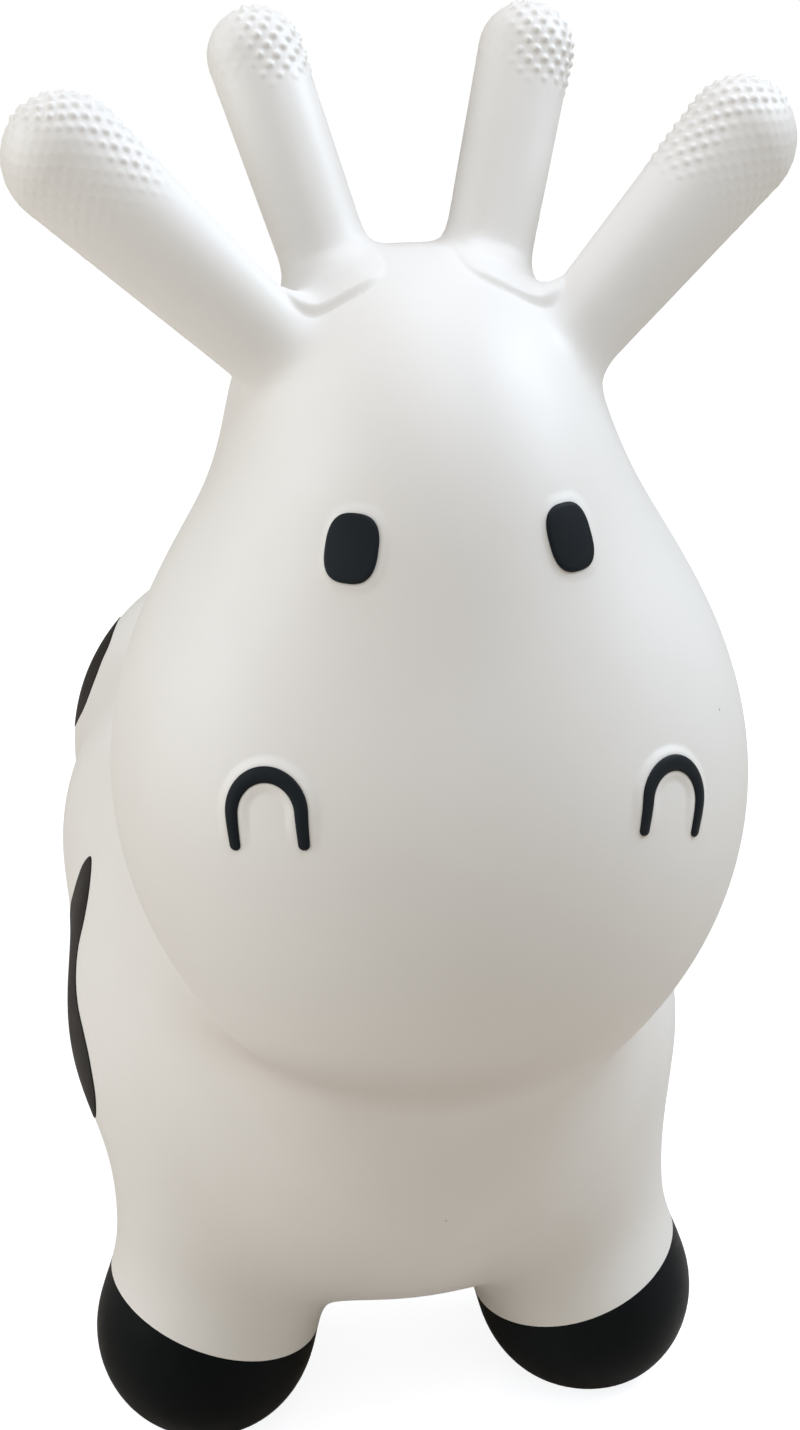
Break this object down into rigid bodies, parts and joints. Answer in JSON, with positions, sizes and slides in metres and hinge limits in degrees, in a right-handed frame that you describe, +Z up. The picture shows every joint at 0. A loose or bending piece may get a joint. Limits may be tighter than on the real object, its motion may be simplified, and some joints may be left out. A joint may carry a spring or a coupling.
{
  "type": "inflatable bouncy ride-on animal",
  "caption": "Inflated rubbery cow for a small child to sit on and bounce, with four hooves to stand on and two ears and two horns to hold.",
  "frame": {"origin": "middle of the bounding box on the floor, between the four hooves", "axes": "+Z up, -Y towards the nose, +X towards the animal's own left side"},
  "size_m": [0.2602, 0.5729, 0.5486],
  "materials": {
    "white_vinyl": "matt soft vinyl",
    "black_vinyl": "satin black paint on soft vinyl",
    "plug_plastic": "smooth plastic"
  },
  "bodies": {
    "feet": {"front_left_hoof": "black_vinyl", "front_right_hoof": "black_vinyl", "rear_left_hoof": "black_vinyl", "rear_right_hoof": "black_vinyl"},
    "torso": {"torso_skin": "white_vinyl", "head_skin": "white_vinyl", "front_left_leg": "white_vinyl", "front_right_leg": "white_vinyl", "rear_left_leg": "white_vinyl", "rear_right_leg": "white_vinyl", "left_ear_root": "white_vinyl", "right_ear_root": "white_vinyl", "left_horn_root": "white_vinyl", "right_horn_root": "white_vinyl", "left_eye": "black_vinyl", "right_eye": "black_vinyl", "left_nostril": "black_vinyl", "right_nostril": "black_vinyl", "right_shoulder_patch": "black_vinyl", "right_hip_patch": "black_vinyl", "left_shoulder_patch": "black_vinyl", "left_hip_patch": "black_vinyl", "saddle_patch": "black_vinyl", "valve_seat": "white_vinyl", "tail": "white_vinyl"},
    "left_ear": {"left_ear": "white_vinyl"},
    "right_ear": {"right_ear": "white_vinyl"},
    "left_horn": {"left_horn": "white_vinyl"},
    "right_horn": {"right_horn": "white_vinyl"},
    "plug": {"valve_plug": "plug_plastic"}
  },
  "joints": [
    {"name": "bounce", "type": "slide", "parent": "feet", "child": "torso", "axis": [0, 0, -1], "range_m": [0, 0.018], "stiffness_N_per_m": 7000, "springref_m": -0.0017, "deforming": ["front_left_leg", "front_right_leg", "rear_left_leg", "rear_right_leg"]},
    {"name": "left_ear_flex", "type": "hinge", "parent": "torso", "child": "left_ear", "pos_m": [0.0637, -0.1716, 0.4638], "axis": [-0.6778, 0, 0.7353], "range_deg": [-15, 20], "stiffness_Nm_per_rad": 2, "deforming": ["left_ear_root"]},
    {"name": "right_ear_flex", "type": "hinge", "parent": "torso", "child": "right_ear", "pos_m": [-0.0637, -0.1716, 0.4638], "axis": [-0.6778, 0, -0.7353], "range_deg": [-15, 20], "stiffness_Nm_per_rad": 2, "deforming": ["right_ear_root"]},
    {"name": "left_horn_flex", "type": "hinge", "parent": "torso", "child": "left_horn", "pos_m": [0.0338, -0.134, 0.4936], "axis": [-0.9586, 0, 0.2849], "range_deg": [-15, 20], "stiffness_Nm_per_rad": 2, "deforming": ["left_horn_root"]},
    {"name": "right_horn_flex", "type": "hinge", "parent": "torso", "child": "right_horn", "pos_m": [-0.0338, -0.134, 0.4936], "axis": [-0.9586, 0, -0.2849], "range_deg": [-15, 20], "stiffness_Nm_per_rad": 2, "deforming": ["right_horn_root"]},
    {"name": "plug_pull", "type": "slide", "parent": "torso", "child": "plug", "axis": [0, 0, -1], "range_m": [0, 0.03]}
  ]
}
